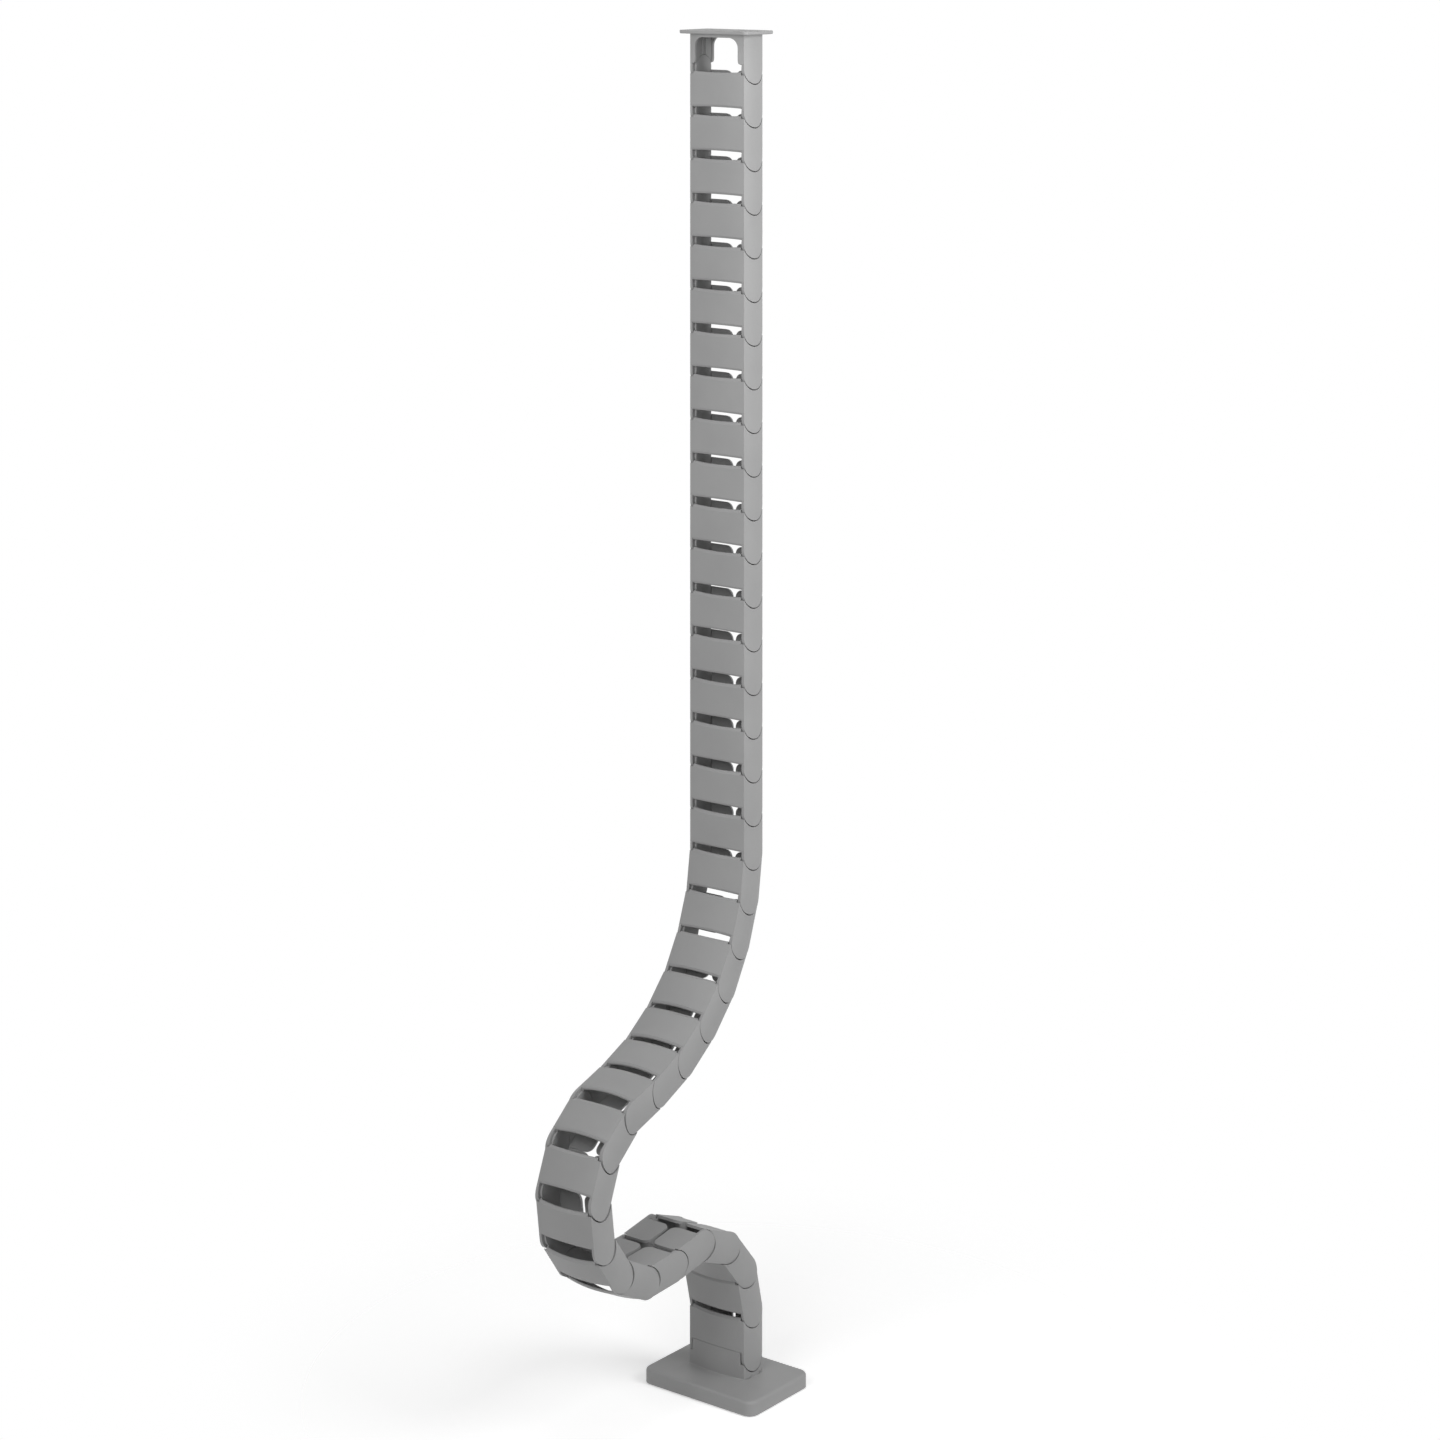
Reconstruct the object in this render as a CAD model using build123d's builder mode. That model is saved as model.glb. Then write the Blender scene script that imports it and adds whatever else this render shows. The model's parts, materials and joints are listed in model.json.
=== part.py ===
# Desk cable guide: a chain of hinged hollow links between a desk plate and a weighted foot
#
# Sizes are in millimetres. The origin is the middle of the face that is screwed
# under the desk. X runs along the hinge pins, +Z is up, and the front is -Y.

import os
from math import cos, radians, sin, sqrt, tan

from build123d import *

# Chain
link_count = 36
pitch = 34.0
upright_links = 17
# Bend in degrees at each hinge below the upright links, from the top down.
# A positive bend swings the lower link towards the front.
curve_bends = [0, 8, 11.5, 10.5, 13, 11, 11.5, 6, -21, -29, -29, -29, -28, -29, -6, 29, 29, 28, 13.5, 0]

# Link section
link_width = 52.8
pivot_radius = 11.9
panel_bulge = 2.8
panel_wall = 2.0
flap_wall = 2.0
slit_width = 3.5
flap_corner = 6.0

# Slanted ends of the panels, which meet when a hinge closes
top_slant = 13.2
bottom_slant = 17.4
top_lip_height = 1.7
top_lip_depth = 1.2
bottom_lip_height = 1.2
bottom_lip_depth = 1.0

# Hinges
bend_stop = 30.0
tongue_wall = 2.0
side_gap = 0.3
ear_wall = 1.8
ear_radius = 9.6
rim_gap = 0.3
notch_gap = 0.9
notch_play = 0.15
pin_radius = 2.5
pin_fit = 0.05
pin_grip = 1.0
pin_end_gap = 0.3

# Desk bracket
desk_width = 66.0
desk_depth = 37.0
desk_plate = 2.4
desk_corner = 3.5
desk_rim = 1.0
desk_drop = 27.2
window_width = 41.4
window_top = 3.0
window_corner = 8.0
window_flare = 2.8
flare_height = 4.5
flare_round = 6.0
guide_rib_width = 1.2
guide_rib_height = 0.8
guide_rib_spacing = 4.4
desk_screw_radius = 2.2
desk_screw_spacing = 30.0

# Foot
foot_width = 108.0
foot_depth = 75.5
foot_height = 12.0
foot_corner = 8.0
foot_rim = 2.5
foot_wall = 2.2
foot_pivot_height = 30.0
collar_fillet = 2.0
seam_gap = 0.35
exit_width = 30.0
exit_height = 11.0
exit_corner = 5.0
base_plate = 2.0
base_gap = 0.3
boss_radius = 3.5
boss_inset_x = 10.0
boss_inset_y = 9.75
screw_radius = 1.25
screw_fit = 0.05
screw_length = 7.0
screw_head_radius = 2.6
screw_head_height = 1.2
screw_slot_width = 0.6
screw_slot_depth = 0.6
pad_radius = 6.0
pad_out = 0.8
pad_seat = 0.6
pad_fit = 0.1
pad_inset_x = 22.0
pad_inset_y = 11.75
weight_gap_x = 3.8
weight_gap_y = 4.55
weight_gap_top = 0.6
weight_gap_boss = 1.5

# Faces shared by the links, the bracket and the foot
half_width = link_width / 2
tongue_face = half_width - tongue_wall
ear_face = tongue_face - side_gap
wall_face = ear_face - ear_wall
flap_face = pivot_radius - flap_wall
front_face = pivot_radius + panel_bulge
bulge_radius = (half_width**2 + panel_bulge**2) / (2 * panel_bulge)
bulge_centre = bulge_radius - front_face
channel_corner = bulge_centre - sqrt((bulge_radius - panel_wall)**2 - wall_face**2)
notch_face = tongue_face - notch_gap
notch_drop = pivot_radius * tan(radians(bend_stop)) + notch_play
reach = 2 * front_face
first_pivot = -desk_plate - desk_drop

# Pose of the chain: where each hinge is and how far each link leans
bends = [0.0] * upright_links + curve_bends
hinges = [(0.0, first_pivot)]
leans = []
lean = 0.0
for number in range(link_count):
    lean += bends[number]
    leans.append(lean)
    hinge_y, hinge_z = hinges[-1]
    next_y = hinge_y - pitch * sin(radians(lean))
    next_z = hinge_z - pitch * cos(radians(lean))
    hinges.append((next_y, next_z))
foot_lean = lean + bends[link_count]


def cylinder_along_x(radius, inner, outer, z, mode):
    """A disc on each side of the chain, between two distances from its middle."""
    for side in (-1, 1):
        with Locations((side * (inner + outer) / 2, 0, z)):
            Cylinder(radius, outer - inner, rotation=(0, 90, 0), mode=mode)


def lower_hinge(z):
    """Tongues with pin holes, and room inside them for the next link's ears."""
    cylinder_along_x(ear_radius + rim_gap, wall_face - 1, tongue_face, z, Mode.SUBTRACT)
    root = pivot_radius * tan(radians(bottom_slant)) + 2 * bottom_lip_height
    for side in (-1, 1):
        with BuildSketch(Plane.YZ.offset(side * tongue_face)) as tongue:
            with Locations((0, z)):
                Circle(pivot_radius)
            with Locations((0, z + root / 2)):
                Rectangle(2 * pivot_radius, root)
        extrude(tongue.sketch, amount=side * tongue_wall)
    hole_end = tongue_face + pin_grip + pin_end_gap
    cylinder_along_x(pin_radius + pin_fit, tongue_face, hole_end, z, Mode.SUBTRACT)


def upper_hinge(top):
    """Room for the upper tongues, then the ears and pins inside them."""
    cylinder_along_x(pivot_radius + rim_gap, ear_face, half_width + 1, 0, Mode.SUBTRACT)
    for side in (-1, 1):
        notch = half_width + 1 - notch_face
        with Locations((side * (notch_face + notch / 2), 0, (top - notch_drop) / 2)):
            Box(notch, 2 * reach, top + notch_drop, mode=Mode.SUBTRACT)
    cylinder_along_x(ear_radius, wall_face, ear_face, 0, Mode.ADD)
    cylinder_along_x(pin_radius, ear_face, tongue_face + pin_grip, 0, Mode.ADD)


# Outlines of the section, seen from above
with BuildSketch() as outline:
    with BuildLine():
        ThreePointArc((-half_width, -pivot_radius), (0, -front_face), (half_width, -pivot_radius))
        Polyline(
            (half_width, -pivot_radius),
            (half_width, pivot_radius),
            (-half_width, pivot_radius),
            (-half_width, -pivot_radius),
        )
    make_face()

with BuildSketch() as channel:
    with BuildLine():
        ThreePointArc(
            (-wall_face, channel_corner),
            (0, panel_wall - front_face),
            (wall_face, channel_corner),
        )
        Polyline(
            (wall_face, channel_corner),
            (wall_face, flap_face),
            (-wall_face, flap_face),
            (-wall_face, channel_corner),
        )
    make_face()

# Solid block of one link, with slanted ends and lips, before it is hollowed.
# Its upper hinge is at the origin and it hangs down from there.
top_rise = reach * tan(radians(top_slant))
bottom_rise = reach * tan(radians(bottom_slant))
with BuildPart() as blank:
    add(outline.sketch)
    extrude(amount=-pitch)
    with BuildSketch(Plane.YZ):
        with BuildLine():
            Polyline(
                (0, 0),
                (reach, -top_rise),
                (reach, bottom_rise - pitch),
                (0, -pitch),
                (-reach, bottom_rise - pitch),
                (-reach, -top_rise),
                (0, 0),
            )
        make_face()
    extrude(amount=link_width, both=True, mode=Mode.INTERSECT)
    front = blank.faces().filter_by(GeomType.CYLINDER)[0]
    top_edge = blank.edges().filter_by(GeomType.ELLIPSE).sort_by(Axis.Z)[-1]
    chamfer(top_edge, length=top_lip_height, length2=top_lip_depth, reference=front)
    front = blank.faces().filter_by(GeomType.CYLINDER)[0]
    bottom_edge = blank.edges().filter_by(GeomType.ELLIPSE).sort_by(Axis.Z)[0]
    chamfer(bottom_edge, length=bottom_lip_height, length2=bottom_lip_depth, reference=front)

# One link: channel, cable slit with rounded flap corners, tongues below, ears above
with BuildPart() as link:
    add(blank.part)
    add(channel.sketch)
    extrude(amount=-pitch, mode=Mode.SUBTRACT)
    with Locations((0, pivot_radius - flap_wall / 2, -pitch / 2)):
        Box(slit_width, 2 * flap_wall, pitch, mode=Mode.SUBTRACT)
    on_slit = link.edges().filter_by(lambda edge: abs(abs(edge.center().X) - slit_width / 2) < 0.01)
    fillet(on_slit.filter_by(lambda edge: edge.length < 2 * flap_wall), radius=flap_corner)
    lower_hinge(-pitch)
    upper_hinge(0)

# Bracket that is screwed under the desk
post_length = desk_drop
window_z = -desk_plate - window_top
flare_z = first_pivot + pivot_radius * tan(radians(bottom_slant)) + bottom_lip_height
half_window = window_width / 2
with BuildPart() as desk_bracket:
    with BuildSketch(Plane.XY.offset(-desk_plate)):
        add(outline.sketch)
    extrude(amount=-desk_drop)
    with BuildSketch(Plane.YZ):
        with BuildLine():
            Polyline(
                (-reach, 0),
                (-reach, first_pivot + bottom_rise),
                (0, first_pivot),
                (reach, first_pivot + bottom_rise),
                (reach, 0),
                (-reach, 0),
            )
        make_face()
    extrude(amount=link_width, both=True, mode=Mode.INTERSECT)
    with BuildSketch(Plane.XY.offset(-desk_plate)):
        add(channel.sketch)
    extrude(amount=-desk_drop, mode=Mode.SUBTRACT)
    for side in (-1, 1):
        with BuildSketch(Plane.XZ.offset(side * flap_face)) as window:
            with BuildLine():
                Polyline(
                    (-half_window - window_flare, first_pivot),
                    (-half_window - window_flare, flare_z),
                    (-half_window, flare_z + flare_height),
                    (-half_window, window_z),
                    (half_window, window_z),
                    (half_window, flare_z + flare_height),
                    (half_window + window_flare, flare_z),
                    (half_window + window_flare, first_pivot),
                    (-half_window - window_flare, first_pivot),
                )
            make_face()
            corners = window.vertices().sort_by(Axis.Y)
            fillet(corners[-2:], radius=window_corner)
            bends_out = window.vertices().filter_by(lambda v: abs(v.Y - flare_z - flare_height) < 0.01)
            fillet(bends_out, radius=flare_round)
        extrude(amount=side * reach, mode=Mode.SUBTRACT)
    lower_hinge(first_pivot)
    rib_end = first_pivot + ear_radius + 2 * rim_gap
    rib_length = -desk_plate - rib_end
    for side in (-1, 1):
        for place in (-1, 1):
            rib_x = side * (wall_face - guide_rib_height / 2)
            with Locations((rib_x, place * guide_rib_spacing / 2, rib_end + rib_length / 2)):
                Box(guide_rib_height, guide_rib_width, rib_length)
    with Locations((0, 0, -desk_plate / 2)):
        Box(desk_width, desk_depth, desk_plate)
    upright = desk_bracket.edges().filter_by(Axis.Z)
    fillet(upright.filter_by(lambda edge: abs(edge.center().X) > half_width + 1), radius=desk_corner)
    rim = desk_bracket.faces().sort_by(Axis.Z)[-1].outer_wire().edges()
    fillet(rim, radius=desk_rim / 2)
    under = desk_bracket.faces().filter_by(Axis.Z).sort_by(lambda f: abs(f.center().Z + desk_plate))[0]
    fillet(under.outer_wire().edges(), radius=desk_rim)
    with Locations((-desk_screw_spacing / 2, 0, 0), (desk_screw_spacing / 2, 0, 0)):
        Cylinder(desk_screw_radius, 3 * desk_plate, mode=Mode.SUBTRACT)

# Foot, built round its own hinge at the origin
floor_z = -foot_pivot_height
rim_z = floor_z + pad_out
top_z = floor_z + foot_height
under_top = top_z - foot_wall
base_top = rim_z + base_plate
boss_x = foot_width / 2 - boss_inset_x
boss_y = foot_depth / 2 - boss_inset_y
pad_x = foot_width / 2 - pad_inset_x
pad_y = foot_depth / 2 - pad_inset_y
collar_top = pivot_radius
exit_z = top_z + exit_height
seated = Location((0, 0, pitch - seam_gap))
link_above = blank.part.moved(seated)
with BuildPart() as foot_cover:
    with BuildSketch(Plane.XY.offset(top_z)):
        add(outline.sketch)
    extrude(amount=collar_top - top_z)
    with BuildSketch(Plane.YZ):
        with BuildLine():
            Polyline(
                (-reach, top_z),
                (-reach, collar_top),
                (-flap_face, collar_top),
                (-flap_face, -flap_face * tan(radians(top_slant))),
                (0, 0),
                (reach, -top_rise),
                (reach, top_z),
                (-reach, top_z),
            )
        make_face()
    extrude(amount=link_width, both=True, mode=Mode.INTERSECT)
    add(link_above, mode=Mode.SUBTRACT)
    with BuildSketch(Plane.XY.offset(rim_z)):
        RectangleRounded(foot_width, foot_depth, foot_corner)
    extrude(amount=top_z - rim_z)
    level = foot_cover.edges().filter_by(lambda edge: abs(edge.bounding_box().min.Z - top_z) < 0.01)
    level = level.filter_by(lambda edge: abs(edge.bounding_box().max.Z - top_z) < 0.01)
    beside = half_width + 1
    rim = level.filter_by(lambda edge: abs(edge.center().X) > beside or abs(edge.center().Y) > reach)
    fillet(rim, radius=foot_rim)
    level = foot_cover.edges().filter_by(lambda edge: abs(edge.bounding_box().min.Z - top_z) < 0.01)
    level = level.filter_by(lambda edge: abs(edge.bounding_box().max.Z - top_z) < 0.01)
    seam = level.filter_by(lambda edge: abs(edge.center().X) < beside and abs(edge.center().Y) < reach)
    fillet(seam, radius=collar_fillet)
    with BuildSketch(Plane.XY.offset(top_z)):
        add(channel.sketch)
    extrude(amount=2 * collar_top - top_z, mode=Mode.SUBTRACT)
    with BuildSketch(Plane.XY.offset(rim_z)):
        RectangleRounded(foot_width - 2 * foot_wall, foot_depth - 2 * foot_wall, foot_corner - foot_wall)
    extrude(amount=under_top - rim_z, mode=Mode.SUBTRACT)
    with BuildSketch(Plane.XZ.offset(-flap_face)):
        with Locations((0, top_z + exit_height / 2)):
            RectangleRounded(exit_width, exit_height, exit_corner)
        with Locations((0, top_z + exit_height / 4)):
            Rectangle(exit_width, exit_height / 2)
        with Locations((0, exit_z)):
            Rectangle(slit_width, exit_height)
    extrude(amount=-reach, mode=Mode.SUBTRACT)
    upper_hinge(collar_top)
    with Locations((-boss_x, -boss_y), (-boss_x, boss_y), (boss_x, -boss_y), (boss_x, boss_y)):
        with Locations((0, 0, (base_top + under_top) / 2)):
            Cylinder(boss_radius, under_top - base_top)
        with Locations((0, 0, base_top + screw_length / 2)):
            Cylinder(screw_radius + screw_fit, screw_length, mode=Mode.SUBTRACT)

# Bottom plate of the foot, with seats for the screws and the pads
screw_spots = [(x, y) for x in (-boss_x, boss_x) for y in (-boss_y, boss_y)]
pad_spots = [(x, y) for x in (-pad_x, pad_x) for y in (-pad_y, pad_y)]
base_inset = foot_wall + base_gap
with BuildPart() as foot_base:
    with BuildSketch(Plane.XY.offset(rim_z)):
        RectangleRounded(foot_width - 2 * base_inset, foot_depth - 2 * base_inset, foot_corner - base_inset)
    extrude(amount=base_plate)
    with Locations(*[(x, y, rim_z) for x, y in screw_spots]):
        Cylinder(screw_radius + screw_fit, 3 * base_plate, mode=Mode.SUBTRACT)
        Cylinder(screw_head_radius + pad_fit, 2 * screw_head_height, mode=Mode.SUBTRACT)
    with Locations(*[(x, y, rim_z) for x, y in pad_spots]):
        Cylinder(pad_radius + pad_fit, 2 * pad_seat, mode=Mode.SUBTRACT)

# Steel weight that lies on the bottom plate, cut back round the screw bosses
weight_width = foot_width - 2 * foot_wall - 2 * weight_gap_x
weight_depth = foot_depth - 2 * foot_wall - 2 * weight_gap_y
weight_height = under_top - base_top - weight_gap_top
between_x = 2 * (boss_x - boss_radius - weight_gap_boss)
between_y = 2 * (boss_y - boss_radius - weight_gap_boss)
with BuildPart() as foot_weight:
    with Locations((0, 0, base_top + weight_height / 2)):
        Box(between_x, weight_depth, weight_height)
        Box(weight_width, between_y, weight_height)

# One foot screw, its slotted head flush with the bottom plate
head_top = rim_z + screw_head_height
screw_end = base_top + screw_length - 2 * base_gap
with BuildPart() as foot_screw:
    with Locations((0, 0, (rim_z + head_top) / 2)):
        Cylinder(screw_head_radius, screw_head_height)
    with Locations((0, 0, (head_top + screw_end) / 2)):
        Cylinder(screw_radius, screw_end - head_top)
    with Locations((0, 0, rim_z)):
        Box(2 * screw_head_radius + 1, screw_slot_width, 2 * screw_slot_depth, mode=Mode.SUBTRACT)

# One anti-slip pad, which sits in its seat and stands out below the foot
pad_height = pad_out + pad_seat
with BuildPart() as foot_pad:
    with Locations((0, 0, floor_z + pad_height / 2)):
        Cylinder(pad_radius, pad_height)

# Every piece in its place
pieces = [(desk_bracket, "desk_bracket", Location())]
for number in range(link_count):
    hinge_y, hinge_z = hinges[number]
    place = Location((0, hinge_y, hinge_z), (-leans[number], 0, 0))
    pieces.append((link, f"link_{number + 1:02d}", place))

foot_y, foot_z = hinges[link_count]
foot_place = Location((0, foot_y, foot_z), (-foot_lean, 0, 0))
pieces.append((foot_cover, "foot_cover", foot_place))
pieces.append((foot_base, "foot_base", foot_place))
pieces.append((foot_weight, "foot_weight", foot_place))
for number, (x, y) in enumerate(screw_spots):
    pieces.append((foot_screw, f"foot_screw_{number + 1}", foot_place * Location((x, y, 0))))
for number, (x, y) in enumerate(pad_spots):
    pieces.append((foot_pad, f"foot_pad_{number + 1}", foot_place * Location((x, y, 0))))

os.makedirs("parts", exist_ok=True)
for shape, label, place in pieces:
    with BuildPart() as placed:
        add(shape.part.moved(place))
    placed.part.label = label
    export_step(placed.part, f"parts/{label}.step")
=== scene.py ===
# %% [markdown]
# # Desk cable guide
# An upright chain of hinged plastic links carries cables from a bracket under a
# desk down to a weighted foot on the floor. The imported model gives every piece
# its exact place and size. This script dresses those pieces: it rounds the edges
# of the mouldings, gives each material its grain, and sets a camera and lights.
# Everything is in metres. X runs along the hinge pins, Z is up, the front is -Y.

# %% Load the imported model
import json
from math import acos, atan2, copysign, cos, degrees, hypot, radians, sin, tan

import bmesh
import bpy
from mathutils import Matrix, Vector


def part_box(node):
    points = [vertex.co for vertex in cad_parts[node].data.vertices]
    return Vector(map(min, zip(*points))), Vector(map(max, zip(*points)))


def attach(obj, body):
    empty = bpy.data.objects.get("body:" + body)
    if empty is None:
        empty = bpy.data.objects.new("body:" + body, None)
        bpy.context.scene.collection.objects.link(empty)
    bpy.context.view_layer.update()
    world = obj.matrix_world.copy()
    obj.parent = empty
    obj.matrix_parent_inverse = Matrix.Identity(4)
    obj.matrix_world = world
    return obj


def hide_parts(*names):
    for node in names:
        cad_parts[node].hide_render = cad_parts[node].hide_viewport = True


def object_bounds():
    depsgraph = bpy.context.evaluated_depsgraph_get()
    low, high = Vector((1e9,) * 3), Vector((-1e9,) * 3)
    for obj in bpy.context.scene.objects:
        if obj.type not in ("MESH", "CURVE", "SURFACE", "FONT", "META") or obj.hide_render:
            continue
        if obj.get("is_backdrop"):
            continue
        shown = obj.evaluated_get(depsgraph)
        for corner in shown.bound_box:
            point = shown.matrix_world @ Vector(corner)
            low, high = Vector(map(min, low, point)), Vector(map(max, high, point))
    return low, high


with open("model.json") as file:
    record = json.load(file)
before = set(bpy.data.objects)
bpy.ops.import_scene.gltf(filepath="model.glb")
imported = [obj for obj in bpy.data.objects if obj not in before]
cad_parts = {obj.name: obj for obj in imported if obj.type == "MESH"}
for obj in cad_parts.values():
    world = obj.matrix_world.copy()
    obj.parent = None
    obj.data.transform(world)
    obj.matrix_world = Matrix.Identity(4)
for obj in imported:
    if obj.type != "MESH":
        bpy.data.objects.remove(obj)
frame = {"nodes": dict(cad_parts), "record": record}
nodes = frame["nodes"]
cad_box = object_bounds()
print("pieces in the packed model:", len(nodes))
print("size in mm:", [round(1000 * (b - a), 1) for a, b in zip(*cad_box)])

# %% [markdown]
# ## Which body each piece moves with
# The chain moves at its hinges, so a new piece has to know the body that it
# follows. The record lists the pieces of every body and the finish of every
# piece, so two small dictionaries made from it answer both questions.

# %% Look up bodies and finishes
record = frame["record"]
body_of_piece = {}
for body, members in record["behaviour"]["bodies"].items():
    for member in members:
        body_of_piece[member] = body
finish_of_piece = {entry["node"]: entry["material_slot"] for entry in record["subparts"]}
links = sorted(name for name in nodes if name.startswith("link_"))

# %% [markdown]
# ## Nodes for a material, written short
# Each finish below is a small tree of shader nodes. They all start from a
# Principled BSDF and read Object coordinates, so that a grain keeps its real size
# on every piece. One helper adds a node and fills in its inputs, and a second one
# starts a material with its shader and coordinates.

# %% Helpers that add shader nodes
def add_node(tree, kind, settings=(), **inputs):
    node = tree.nodes.new(kind)
    for name, value in dict(settings).items():
        setattr(node, name, value)
    for name, value in inputs.items():
        socket = node.inputs[name.replace("_", " ")]
        if isinstance(value, bpy.types.NodeSocket):
            tree.links.new(value, socket)
        else:
            socket.default_value = value
    return node


def start_material(name):
    material = bpy.data.materials.new(name)
    material.use_nodes = True
    tree = material.node_tree
    shader = tree.nodes["Principled BSDF"]
    place = tree.nodes.new("ShaderNodeTexCoord").outputs["Object"]
    return material, tree, shader, place

# %% [markdown]
# ## Grey moulded plastic
# The bracket, the links and the foot are one satin mid-grey plastic. A mould for
# such a part is spark-eroded, which leaves a very fine even grain that softens
# the reflections. Two noises make it: a fine one for the grain's bump, and a
# broad one that shifts the grey and the gloss by a few percent, as flow in the
# mould does. A painted look would need a clear coat, so none is used here.

# %% Make the grey plastic
plastic, tree, shader, place = start_material("satin_grey_plastic")
flow = add_node(tree, "ShaderNodeTexNoise", Vector=place, Scale=24.0, Detail=3.0, Roughness=0.55)
grain = add_node(tree, "ShaderNodeTexNoise", Vector=place, Scale=1500.0, Detail=2.0, Roughness=0.6)
shade = add_node(tree, "ShaderNodeValToRGB", Fac=flow.outputs["Fac"])
shade.color_ramp.elements[0].position = 0.3
shade.color_ramp.elements[0].color = (0.318, 0.318, 0.319, 1)
shade.color_ramp.elements[1].position = 0.7
shade.color_ramp.elements[1].color = (0.342, 0.342, 0.342, 1)
gloss = add_node(tree, "ShaderNodeMapRange", Value=flow.outputs["Fac"], To_Min=0.46, To_Max=0.54)
relief = add_node(tree, "ShaderNodeBump", Strength=0.12, Distance=0.00008, Height=grain.outputs["Fac"])
tree.links.new(shade.outputs["Color"], shader.inputs["Base Color"])
tree.links.new(gloss.outputs["Result"], shader.inputs["Roughness"])
tree.links.new(relief.outputs["Normal"], shader.inputs["Normal"])
shader.inputs["IOR"].default_value = 1.46
shader.inputs["Specular IOR Level"].default_value = 0.4
print("plastic nodes:", len(tree.nodes))

# %% [markdown]
# ## Steel for the ballast and the screws
# The ballast is a plain cut plate that nobody sees, with the faint stretched
# streaks of rolled sheet. The screws are zinc plated, a little brighter and with
# a cloudy surface. Stretching a noise along X gives the streaks, and leaving it
# round gives the clouds.

# %% Make the two steels
def steel(name, dark, light, stretch, roughness):
    material, tree, shader, place = start_material(name)
    turned = add_node(tree, "ShaderNodeMapping", Vector=place, Scale=stretch)
    streaks = add_node(tree, "ShaderNodeTexNoise", Vector=turned.outputs["Vector"], Scale=1.0, Detail=4.0)
    shade = add_node(tree, "ShaderNodeValToRGB", Fac=streaks.outputs["Fac"])
    shade.color_ramp.elements[0].color = (*dark, 1)
    shade.color_ramp.elements[1].color = (*light, 1)
    gloss = add_node(
        tree, "ShaderNodeMapRange", Value=streaks.outputs["Fac"],
        To_Min=roughness - 0.07, To_Max=roughness + 0.07,
    )
    relief = add_node(tree, "ShaderNodeBump", Strength=0.1, Distance=0.0001, Height=streaks.outputs["Fac"])
    tree.links.new(shade.outputs["Color"], shader.inputs["Base Color"])
    tree.links.new(gloss.outputs["Result"], shader.inputs["Roughness"])
    tree.links.new(relief.outputs["Normal"], shader.inputs["Normal"])
    shader.inputs["Metallic"].default_value = 1.0
    return material


rolled_steel = steel("rolled_steel", (0.40, 0.40, 0.41), (0.52, 0.52, 0.53), (30, 1200, 1200), 0.42)
zinc_plate = steel("zinc_plate", (0.52, 0.52, 0.54), (0.66, 0.66, 0.67), (700, 700, 700), 0.34)

# %% [markdown]
# ## Rubber for the pads
# The pads keep the foot from sliding. They are black rubber: very rough, with a
# coarse pebbled grain that a Voronoi texture gives better than a noise.

# %% Make the rubber
rubber, tree, shader, place = start_material("pad_rubber")
pebbles = add_node(tree, "ShaderNodeTexVoronoi", Vector=place, Scale=1400.0)
dust = add_node(tree, "ShaderNodeTexNoise", Vector=place, Scale=160.0, Detail=3.0)
shade = add_node(tree, "ShaderNodeValToRGB", Fac=dust.outputs["Fac"])
shade.color_ramp.elements[0].color = (0.035, 0.035, 0.035, 1)
shade.color_ramp.elements[1].color = (0.06, 0.06, 0.058, 1)
relief = add_node(tree, "ShaderNodeBump", Strength=0.4, Distance=0.0001, Height=pebbles.outputs["Distance"])
tree.links.new(shade.outputs["Color"], shader.inputs["Base Color"])
tree.links.new(relief.outputs["Normal"], shader.inputs["Normal"])
shader.inputs["Roughness"].default_value = 0.85

finishes = {
    "grey_plastic": plastic,
    "weight_steel": rolled_steel,
    "screw_steel": zinc_plate,
    "pad_rubber": rubber,
}
print("finishes:", sorted(finishes))

# %% [markdown]
# ## Hinges and leans
# Every link hangs from its upper hinge and leans with the chain. The packed
# joints say where the hinges are, so the lean of a link follows from two hinges
# in a row. One matrix per link turns the upright form into its place.

# %% Work out where each link hangs
PITCH = 0.034
hinge_at = [Vector(joint["pos_m"]) for joint in record["behaviour"]["joints"]]


def hang(upper, lower):
    down = (lower - upper).normalized()
    lean = atan2(-down.y, -down.z)
    return Matrix.Translation(upper) @ Matrix.Rotation(-lean, 4, "X")


places = {name: hang(hinge_at[i], hinge_at[i + 1]) for i, name in enumerate(links)}
print("steepest lean:", round(max(abs(degrees(m.to_euler().x)) for m in places.values()), 1), "degrees")

# %% [markdown]
# ## Clean meshes to work on
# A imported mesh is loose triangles. Merging its points and dissolving the lines
# inside flat areas gives back the faces that a designer would draw. A piece is
# worked on with its hinge at the origin, where its sizes are easy to name.

# %% Helpers that open and cut a mesh
MM = 0.001
SAME_POINT = 0.002 * MM
FLAT_ANGLE = radians(0.5)
NEAR = 0.01 * MM


def open_mesh(name, place):
    mesh = bmesh.new()
    mesh.from_mesh(nodes[name].data)
    bmesh.ops.transform(mesh, matrix=place.inverted(), verts=mesh.verts)
    bmesh.ops.remove_doubles(mesh, verts=mesh.verts, dist=SAME_POINT)
    bmesh.ops.dissolve_limit(mesh, angle_limit=FLAT_ANGLE, verts=mesh.verts, edges=mesh.edges)
    return mesh


def cut_faces(mesh, faces, point, normal):
    parts = {part for face in faces for part in (face, *face.edges, *face.verts)}
    bmesh.ops.bisect_plane(mesh, geom=list(parts), dist=0.001 * MM, plane_co=point, plane_no=normal)

# %% [markdown]
# ## Swollen sides
# Seen from above, a link is no plain box: its sides swell a little, like its
# front panel. That is what shades each side from light to dark and bends the
# foot of the collar. The flat sides are cut into upright strips, and the strips
# are pushed out along a shallow arc that ends at the corners.

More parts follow.
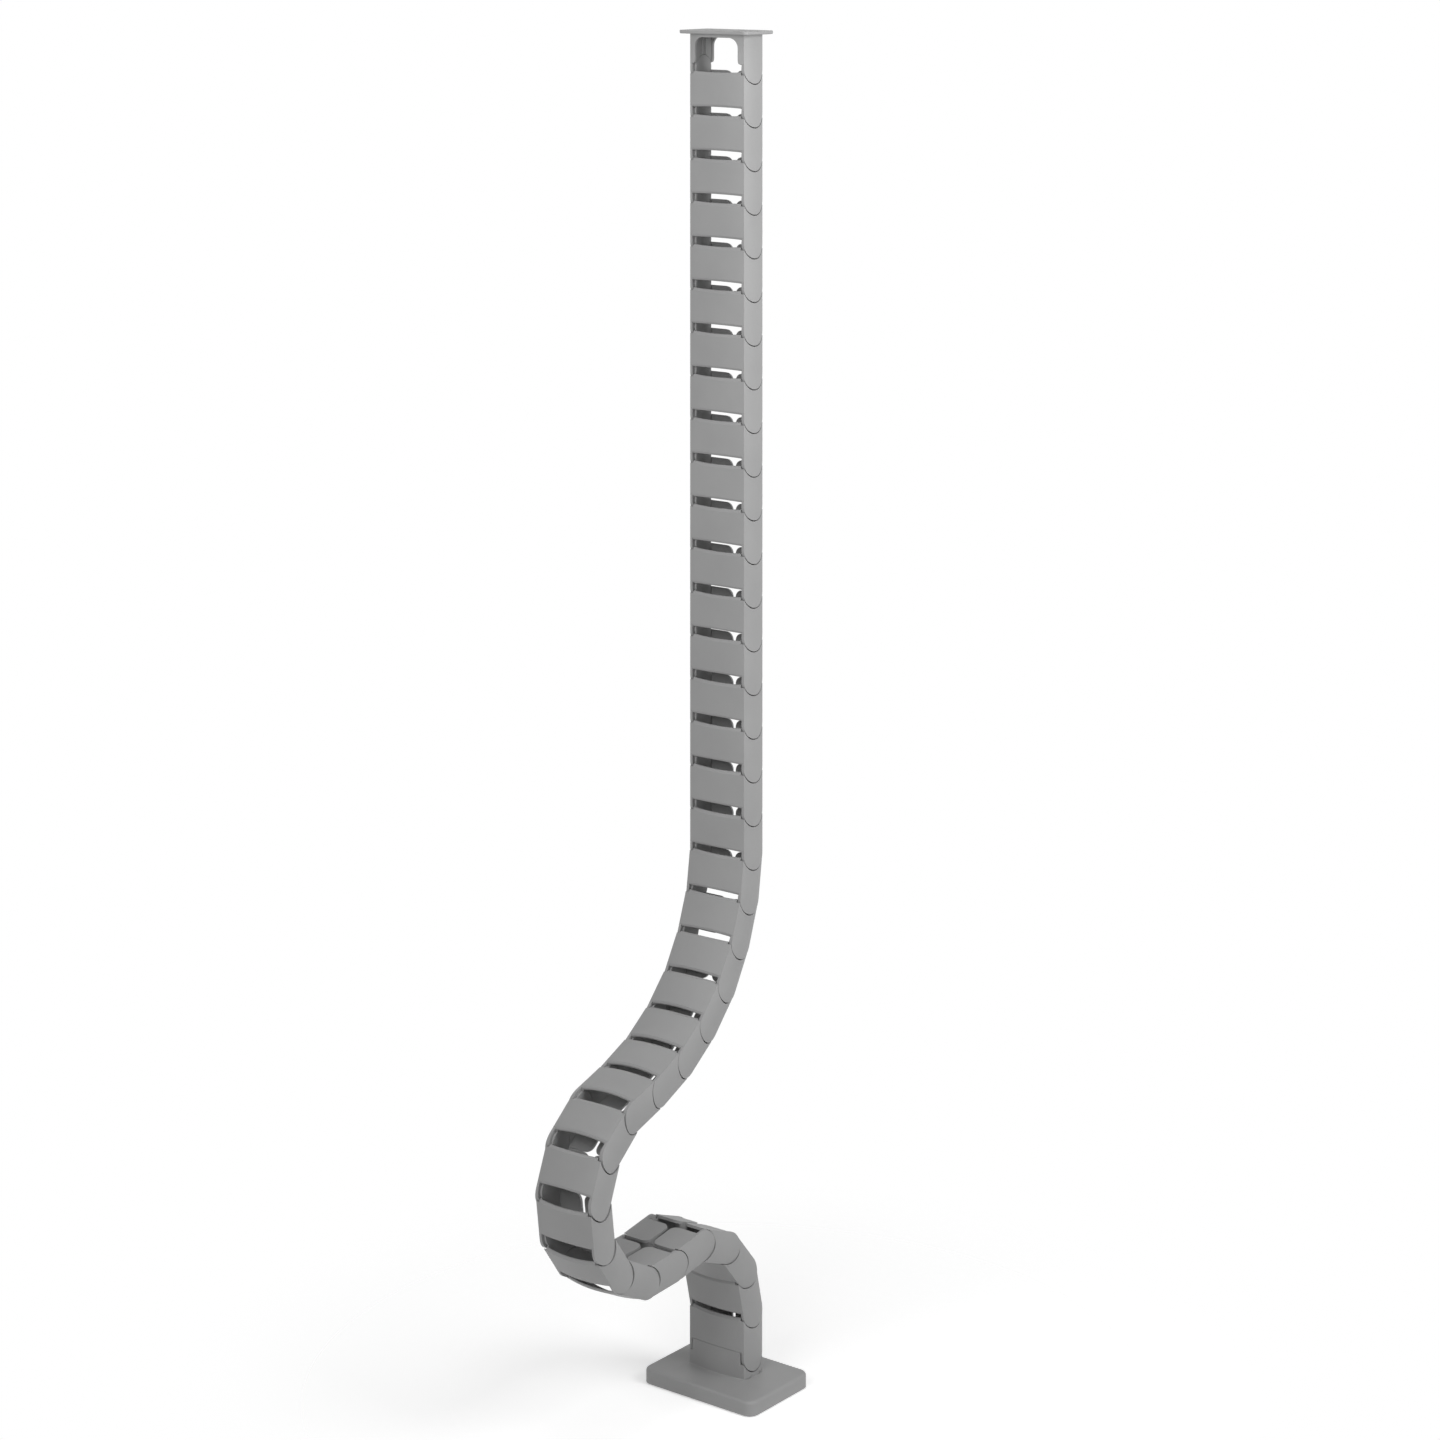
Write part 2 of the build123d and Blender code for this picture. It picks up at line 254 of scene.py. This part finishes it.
# %% Push the sides out
HALF_WIDTH = 26.4 * MM
HALF_DEPTH = 11.9 * MM
SIDE_BULGE = 2.2 * MM
SIDE_SHIFT = 0.2 * MM
SIDE_STRIPS = 12


def bulge_at(y):
    return SIDE_BULGE * max(0.0, 1 - (y / HALF_DEPTH)**2)


def on_side(vert, ceiling):
    return abs(abs(vert.co.x) - HALF_WIDTH) < NEAR and vert.co.z < ceiling


def swell_sides(mesh, ceiling=1.0):
    for step in range(1, SIDE_STRIPS):
        y = HALF_DEPTH * (2 * step / SIDE_STRIPS - 1)
        faces = [f for f in mesh.faces if all(on_side(v, ceiling) for v in f.verts)]
        cut_faces(mesh, faces, (0, y, 0), (0, 1, 0))
    for vert in mesh.verts:
        if on_side(vert, ceiling):
            vert.co.x += copysign(SIDE_SHIFT + bulge_at(vert.co.y), vert.co.x)

# %% [markdown]
# ## Seams round the hinges
# The tongue of one link swings in a round recess of the next. The seam between
# them is a clear dark line, and the corners beside it are cut back only a
# little. Both belong to the upper end of a link, so they are set there: the
# recess is opened to its real radius, and its ends climb towards the hinge.

# %% Set the recess and its ends
RECESS_RADIUS = 12.2 * MM
OPEN_RADIUS = 12.4 * MM
RECESS_FACE = 24.05 * MM
END_FACE = 23.4 * MM
END_DROP = 7.02 * MM
NEW_END = (11.5 * MM, 4.64 * MM)
TONGUE_RADIUS = 11.9 * MM
TONGUE_SHORTER = 0.4 * MM
NEAR_ARC = 0.03 * MM


def set_recess(mesh):
    widen = atan2(*NEW_END) / acos(END_DROP / RECESS_RADIUS)
    for vert in mesh.verts:
        x, y, z = vert.co
        if abs(x) > RECESS_FACE and z < 0 and abs(hypot(y, z) - RECESS_RADIUS) < NEAR_ARC:
            angle = atan2(y, -z) * widen
            vert.co.y, vert.co.z = OPEN_RADIUS * sin(angle), -OPEN_RADIUS * cos(angle)
        elif abs(x) > END_FACE and abs(z + END_DROP) < NEAR_ARC:
            vert.co.z = -NEW_END[1]


def shorten_tongue(mesh, z_hinge):
    for vert in mesh.verts:
        x, y, z = vert.co
        below = z_hinge - z
        if below > 0 and abs(hypot(y, below) - TONGUE_RADIUS) < NEAR_ARC and abs(x) > RECESS_FACE:
            vert.co.z += TONGUE_SHORTER * below / TONGUE_RADIUS

# %% [markdown]
# ## Soft edges
# A moulded part has no knife-sharp edge: each one has a small radius, and that
# radius is what catches the light in a thin bright line. The bevel comes last,
# after the form is right, and weighted normals keep the flat areas flat.

# %% Round the edges and close the mesh
EDGE_RADIUS = 0.3 * MM
SHARP_ANGLE = radians(28)


def close_mesh(mesh, name, radius=EDGE_RADIUS):
    bmesh.ops.remove_doubles(mesh, verts=mesh.verts, dist=SAME_POINT)
    bmesh.ops.recalc_face_normals(mesh, faces=mesh.faces)
    sharp = [e for e in mesh.edges if e.is_manifold and e.calc_face_angle() > SHARP_ANGLE]
    bmesh.ops.bevel(
        mesh, geom=sharp, offset=radius, segments=2, profile=0.5,
        affect="EDGES", clamp_overlap=True, material=-1,
    )
    for face in mesh.faces:
        face.smooth = True
    data = bpy.data.meshes.new(name)
    mesh.to_mesh(data)
    mesh.free()
    return data


def dress(data, name, place):
    data.transform(place)
    piece = bpy.data.objects.new(name + "_rounded", data)
    bpy.context.scene.collection.objects.link(piece)
    normals = piece.modifiers.new("even shading", "WEIGHTED_NORMAL")
    normals.keep_sharp = True
    data.materials.append(finishes[finish_of_piece[name]])
    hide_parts(name)
    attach(piece, body_of_piece[name])
    return piece

# %% [markdown]
# ## The links
# All links come out of one mould, so the form is made once, from the first link,
# and each place in the chain gets a copy.

# %% Make the links
form = open_mesh(links[0], places[links[0]])
set_recess(form)
shorten_tongue(form, -PITCH)
swell_sides(form)
link_form = close_mesh(form, "link_form")
for name in links:
    dress(link_form.copy(), name, places[name])
print("faces on one link:", len(link_form.polygons))

# %% [markdown]
# ## The desk bracket
# The bracket is a short post under a plate. Its sides swell like those of the
# links. The window in its front widens just above the first link, in two small
# shoulders, and the plate is a little thicker and wider than a plain sheet. Posts
# and shoulders end at the slanted plane to which the first link swings up, which
# leaves it just about room to reach its limits.

# %% Make the desk bracket
SHOULDER_LOW = (4.93 * MM, 0.9 * MM)
SHOULDER_HIGH = (9.43 * MM, 5.0 * MM)
SHOULDER_TOP = (17.0 * MM, 16.0 * MM)
POST_INSIDE = 20.0 * MM
WINDOW_WIDER = 0.5 * MM
SHOULDER_WIDER = 0.35 * MM
PLATE_UNDER = 2.4 * MM
PLATE_LOWER = 0.4 * MM
PLATE_WIDER = 0.7 * MM
PLATE_RIM = 1.3 * MM
PANEL_BACK = 9.8 * MM
PANEL_SIDE = 23.7 * MM
WINDOW_SIDE = 12 * MM
SWING_SLOPE = tan(radians(17.4))


def between(value, low, high):
    share = (value - low[0]) / (high[0] - low[0])
    return low[1] + share * (high[1] - low[1])


bracket_place = Matrix.Translation(hinge_at[0])
form = open_mesh("desk_bracket", bracket_place)
plate_top = -hinge_at[0].z
plate_under = plate_top - PLATE_UNDER
shorten_tongue(form, 0)
swell_sides(form, ceiling=plate_under + NEAR)
for vert in form.verts:
    x, y, z = vert.co
    if z > plate_under - NEAR:
        if abs(x) > HALF_WIDTH + SIDE_BULGE + 1 * MM:
            vert.co.x += copysign(PLATE_WIDER, x)
        if z < plate_top - PLATE_RIM:
            vert.co.z -= PLATE_LOWER
        continue
    in_panel = abs(y) > PANEL_BACK and z < plate_under - 1 * MM
    lowest = abs(y) * SWING_SLOPE
    if in_panel and abs(x) < PANEL_SIDE:
        if SHOULDER_LOW[0] - 0.02 * MM < z <= SHOULDER_HIGH[0]:
            vert.co.z = max(between(z, SHOULDER_LOW, SHOULDER_HIGH), lowest)
        elif SHOULDER_HIGH[0] < z < SHOULDER_TOP[0]:
            vert.co.z = max(between(z, SHOULDER_HIGH, SHOULDER_TOP), lowest)
        if abs(x) > WINDOW_SIDE:
            wider = SHOULDER_WIDER if z < SHOULDER_LOW[0] + 1 * MM else WINDOW_WIDER
            vert.co.x += copysign(wider, x)
    if in_panel and abs(x) > POST_INSIDE and 3 * MM < z < SHOULDER_LOW[0] - 0.02 * MM:
        vert.co.z = lowest
piece = dress(close_mesh(form, "desk_bracket_form"), "desk_bracket", bracket_place)
print("desk bracket:", len(piece.data.polygons), "faces")

# %% [markdown]
# ## The foot
# The cover of the foot is not quite flat: from its rounded rim it rises a little
# towards the collar, so that four faint slopes meet on the diagonals. The seam
# round the collar is tight, with a radius of about a millimetre.

# %% Make the foot cover
COVER_TOP = -18.0 * MM
SEAM_RADIUS = 2.0 * MM
SEAM_TIGHTER = 0.5
CROWN = 2.2 * MM
RIM_X, RIM_Y = 51.5 * MM, 35.25 * MM
DECK_X, DECK_Y = 29.6 * MM, 15.7 * MM


def rise_at(x, y):
    across = (RIM_X - abs(x)) / (RIM_X - DECK_X)
    along = (RIM_Y - abs(y)) / (RIM_Y - DECK_Y)
    return CROWN * min(1.0, max(0.0, min(across, along)))


def cover_faces(mesh):
    return [f for f in mesh.faces if all(abs(v.co.z - COVER_TOP) < NEAR for v in f.verts)]


foot_place = Matrix.Translation(hinge_at[-1])
form = open_mesh("foot_cover", foot_place)
set_recess(form)
swell_sides(form)
for side in (-1, 1):
    slope = (RIM_Y - DECK_Y) / (RIM_X - DECK_X) * side
    for way in (-1, 1):
        cut_faces(form, cover_faces(form), (RIM_X, way * RIM_Y * side, 0), (way * slope, -1, 0))
    cut_faces(form, cover_faces(form), (side * DECK_X, 0, 0), (1, 0, 0))
    cut_faces(form, cover_faces(form), (0, side * DECK_Y, 0), (0, 1, 0))
for vert in form.verts:
    x, y, z = vert.co
    above = z - COVER_TOP
    beside_collar = abs(x) < HALF_WIDTH + SEAM_RADIUS + 0.05 * MM
    if -NEAR < above < SEAM_RADIUS - NEAR and beside_collar:
        if HALF_WIDTH + NEAR < abs(x) and abs(y) < HALF_DEPTH + SEAM_RADIUS:
            out = abs(x) - HALF_WIDTH
            vert.co.x = copysign(HALF_WIDTH + bulge_at(y) + out * SEAM_TIGHTER, x)
        vert.co.z = COVER_TOP + above * SEAM_TIGHTER
    if -NEAR < above < SEAM_RADIUS:
        vert.co.z += rise_at(vert.co.x, vert.co.y)
piece = dress(close_mesh(form, "foot_cover_form"), "foot_cover", foot_place)
print("foot cover:", len(piece.data.polygons), "faces")

# %% [markdown]
# ## The bottom plate of the foot
# The plate closes the foot from below. Its form is right as packed, so it only
# gets soft edges and its finish.

# %% Make the foot base
form = open_mesh("foot_base", foot_place)
piece = dress(close_mesh(form, "foot_base_form"), "foot_base", foot_place)
print("foot base:", len(piece.data.polygons), "faces")

# %% [markdown]
# ## The small pieces under the foot
# The ballast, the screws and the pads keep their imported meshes, because their
# shapes are right and their edges are not seen. They only get their finish.

# %% Give the small pieces their finish
for name, source in nodes.items():
    if finish_of_piece[name] != "grey_plastic":
        source.data.materials.clear()
        source.data.materials.append(finishes[finish_of_piece[name]])
print("small pieces finished")

# %% [markdown]
# ## Floor
# The guide stands on a white floor that fades out into a white surround. Near the
# foot the floor is a plain pale surface, so it takes the soft shadow of the foot.
# Further out it turns see-through, and the white surround takes over without a
# line where they meet.

# %% Make the floor
FLOOR_RADIUS = 0.9
FADE_FROM, FADE_TO = 0.10, 0.45
FLOOR_GLOW = 0.45
floor_level = cad_box[0][2]
foot_low, foot_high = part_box("foot_cover")
foot_middle = [(a + b) / 2 for a, b in zip(foot_low, foot_high)]
floor_mesh = bmesh.new()
bmesh.ops.create_circle(floor_mesh, cap_ends=True, segments=96, radius=FLOOR_RADIUS)
bmesh.ops.translate(floor_mesh, verts=floor_mesh.verts, vec=(foot_middle[0], foot_middle[1], floor_level))
floor_data = bpy.data.meshes.new("floor")
floor_mesh.to_mesh(floor_data)
floor_mesh.free()
floor = bpy.data.objects.new("floor", floor_data)
bpy.context.scene.collection.objects.link(floor)
floor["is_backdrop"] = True

floor_paint, tree, shader, place = start_material("floor_white")
shader.inputs["Base Color"].default_value = (0.9, 0.9, 0.9, 1)
shader.inputs["Roughness"].default_value = 0.9
shader.inputs["Specular IOR Level"].default_value = 0.0
centred = add_node(
    tree, "ShaderNodeVectorMath", {"operation": "DISTANCE"}, Vector=place,
)
centred.inputs[1].default_value = (foot_middle[0], foot_middle[1], floor_level)
fade = add_node(
    tree, "ShaderNodeMapRange", {"interpolation_type": "SMOOTHSTEP"}, Value=centred.outputs["Value"],
    From_Min=FADE_FROM, From_Max=FADE_TO, To_Min=1.0, To_Max=0.0,
)
clear = add_node(tree, "ShaderNodeBsdfTransparent")
mixed = add_node(tree, "ShaderNodeMixShader", Fac=fade.outputs["Result"])
rays = add_node(tree, "ShaderNodeLightPath")
seen = add_node(tree, "ShaderNodeMath", {"operation": "MAXIMUM"})
tree.links.new(rays.outputs["Is Camera Ray"], seen.inputs[0])
tree.links.new(rays.outputs["Is Glossy Ray"], seen.inputs[1])
glow = add_node(tree, "ShaderNodeMapRange", Value=seen.outputs["Value"], To_Min=0.0, To_Max=FLOOR_GLOW)
lift = add_node(tree, "ShaderNodeEmission", Color=(1, 1, 1, 1), Strength=glow.outputs["Result"])
paint = add_node(tree, "ShaderNodeAddShader")
tree.links.new(shader.outputs["BSDF"], paint.inputs[0])
tree.links.new(lift.outputs["Emission"], paint.inputs[1])
tree.links.new(clear.outputs["BSDF"], mixed.inputs[1])
tree.links.new(paint.outputs["Shader"], mixed.inputs[2])
tree.links.new(mixed.outputs["Shader"], tree.nodes["Material Output"].inputs["Surface"])
floor_data.materials.append(floor_paint)
print("floor at", round(1000 * floor_level, 1), "mm")

# %% [markdown]
# ## White surround and soft light
# The world gives an even light from all round. What the camera sees of it
# directly is plain white, and so is what gloss mirrors, while the light it
# throws on the object stays at a plain level and grows weaker overhead.

# %% Set the world
SKY_AT_HORIZON, SKY_OVERHEAD = 0.52, 0.05
world = bpy.data.worlds.new("white_surround")
bpy.context.scene.world = world
world.use_nodes = True
tree = world.node_tree
tree.nodes.clear()
rays = add_node(tree, "ShaderNodeLightPath")
seen = add_node(tree, "ShaderNodeMath", {"operation": "MAXIMUM"})
tree.links.new(rays.outputs["Is Camera Ray"], seen.inputs[0])
tree.links.new(rays.outputs["Is Transmission Ray"], seen.inputs[1])
white = add_node(tree, "ShaderNodeMath", {"operation": "MAXIMUM"})
tree.links.new(seen.outputs["Value"], white.inputs[0])
tree.links.new(rays.outputs["Is Glossy Ray"], white.inputs[1])
direction = tree.nodes.new("ShaderNodeTexCoord").outputs["Generated"]
parts = add_node(tree, "ShaderNodeSeparateXYZ", Vector=direction)
dimmed = add_node(
    tree, "ShaderNodeMapRange", Value=parts.outputs["Z"],
    From_Min=0.0, From_Max=1.0, To_Min=SKY_AT_HORIZON, To_Max=SKY_OVERHEAD,
)
level = add_node(tree, "ShaderNodeMix", Factor=white.outputs["Value"])
tree.links.new(dimmed.outputs["Result"], level.inputs[2])
level.inputs[3].default_value = 1.0
light = add_node(tree, "ShaderNodeBackground", Color=(1, 1, 1, 1), Strength=level.outputs[0])
add_node(tree, "ShaderNodeOutputWorld", Surface=light.outputs["Background"])

# %% [markdown]
# ## Lamps
# A large lamp at the right makes the side faces lighter than the front ones. A
# weaker one in front fills the panels, and a small one above them lights their
# top lips a little.

# %% Hang the lamps
def lamp(name, place, target, size, watts):
    data = bpy.data.lights.new(name, "AREA")
    data.shape = "RECTANGLE"
    data.size, data.size_y = size
    data.energy = watts
    holder = bpy.data.objects.new(name, data)
    bpy.context.scene.collection.objects.link(holder)
    holder.location = place
    holder.rotation_euler = (Vector(target) - Vector(place)).to_track_quat("-Z", "Y").to_euler()


lamp("side_lamp", (1.4, 0.1, 0.3), (0, 0, 0.1), (0.8, 0.9), 17)
lamp("front_lamp", (0.2, -1.5, 0.3), (0, 0, 0.1), (0.9, 0.9), 10.5)
lamp("top_lamp", (0.35, -0.5, 1.0), (0, 0, -0.1), (0.4, 0.4), 3.5)
print("lamps hung")

# %% [markdown]
# ## Camera
# In the photograph all upright edges stay parallel, so the camera looks level and
# the picture is shifted down to it, as with a shift lens. Its turn round the
# object, its distance and its height were found from the slopes of the plate, of
# the foot and of the hinge seams.

# %% Set the camera
SENSOR = 36.0
PICTURE_PIXELS = 1440
FOCAL_PIXELS = 3496.7
SHIFT_PIXELS = -825.0
SIDESTEP = -0.00617
EYE_HEIGHT = 0.1059
turn = radians(37.79)
away = 2.745
camera_data = bpy.data.cameras.new("camera")
camera_data.sensor_width = SENSOR
camera_data.lens = SENSOR * FOCAL_PIXELS / PICTURE_PIXELS
camera_data.shift_y = SHIFT_PIXELS / PICTURE_PIXELS
camera = bpy.data.objects.new("camera", camera_data)
camera.location = (SIDESTEP + away * sin(turn), -away * cos(turn), EYE_HEIGHT)
camera.rotation_euler = (radians(90), 0, turn)
bpy.context.scene.collection.objects.link(camera)
bpy.context.scene.camera = camera
bpy.context.scene.view_settings.view_transform = "Standard"
print("camera at", [round(v, 3) for v in camera.location])

# %% [markdown]
# ## Check the size and finish
# The dressed object has to fill the same box as the imported model, so the
# largest change between the two boxes is printed.

# %% Compare the boxes and finish
seen_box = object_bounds()
changes = [abs(a - b) for p, q in zip(cad_box, seen_box) for a, b in zip(p, q)]
print("largest change in mm:", round(1000 * max(changes), 3))
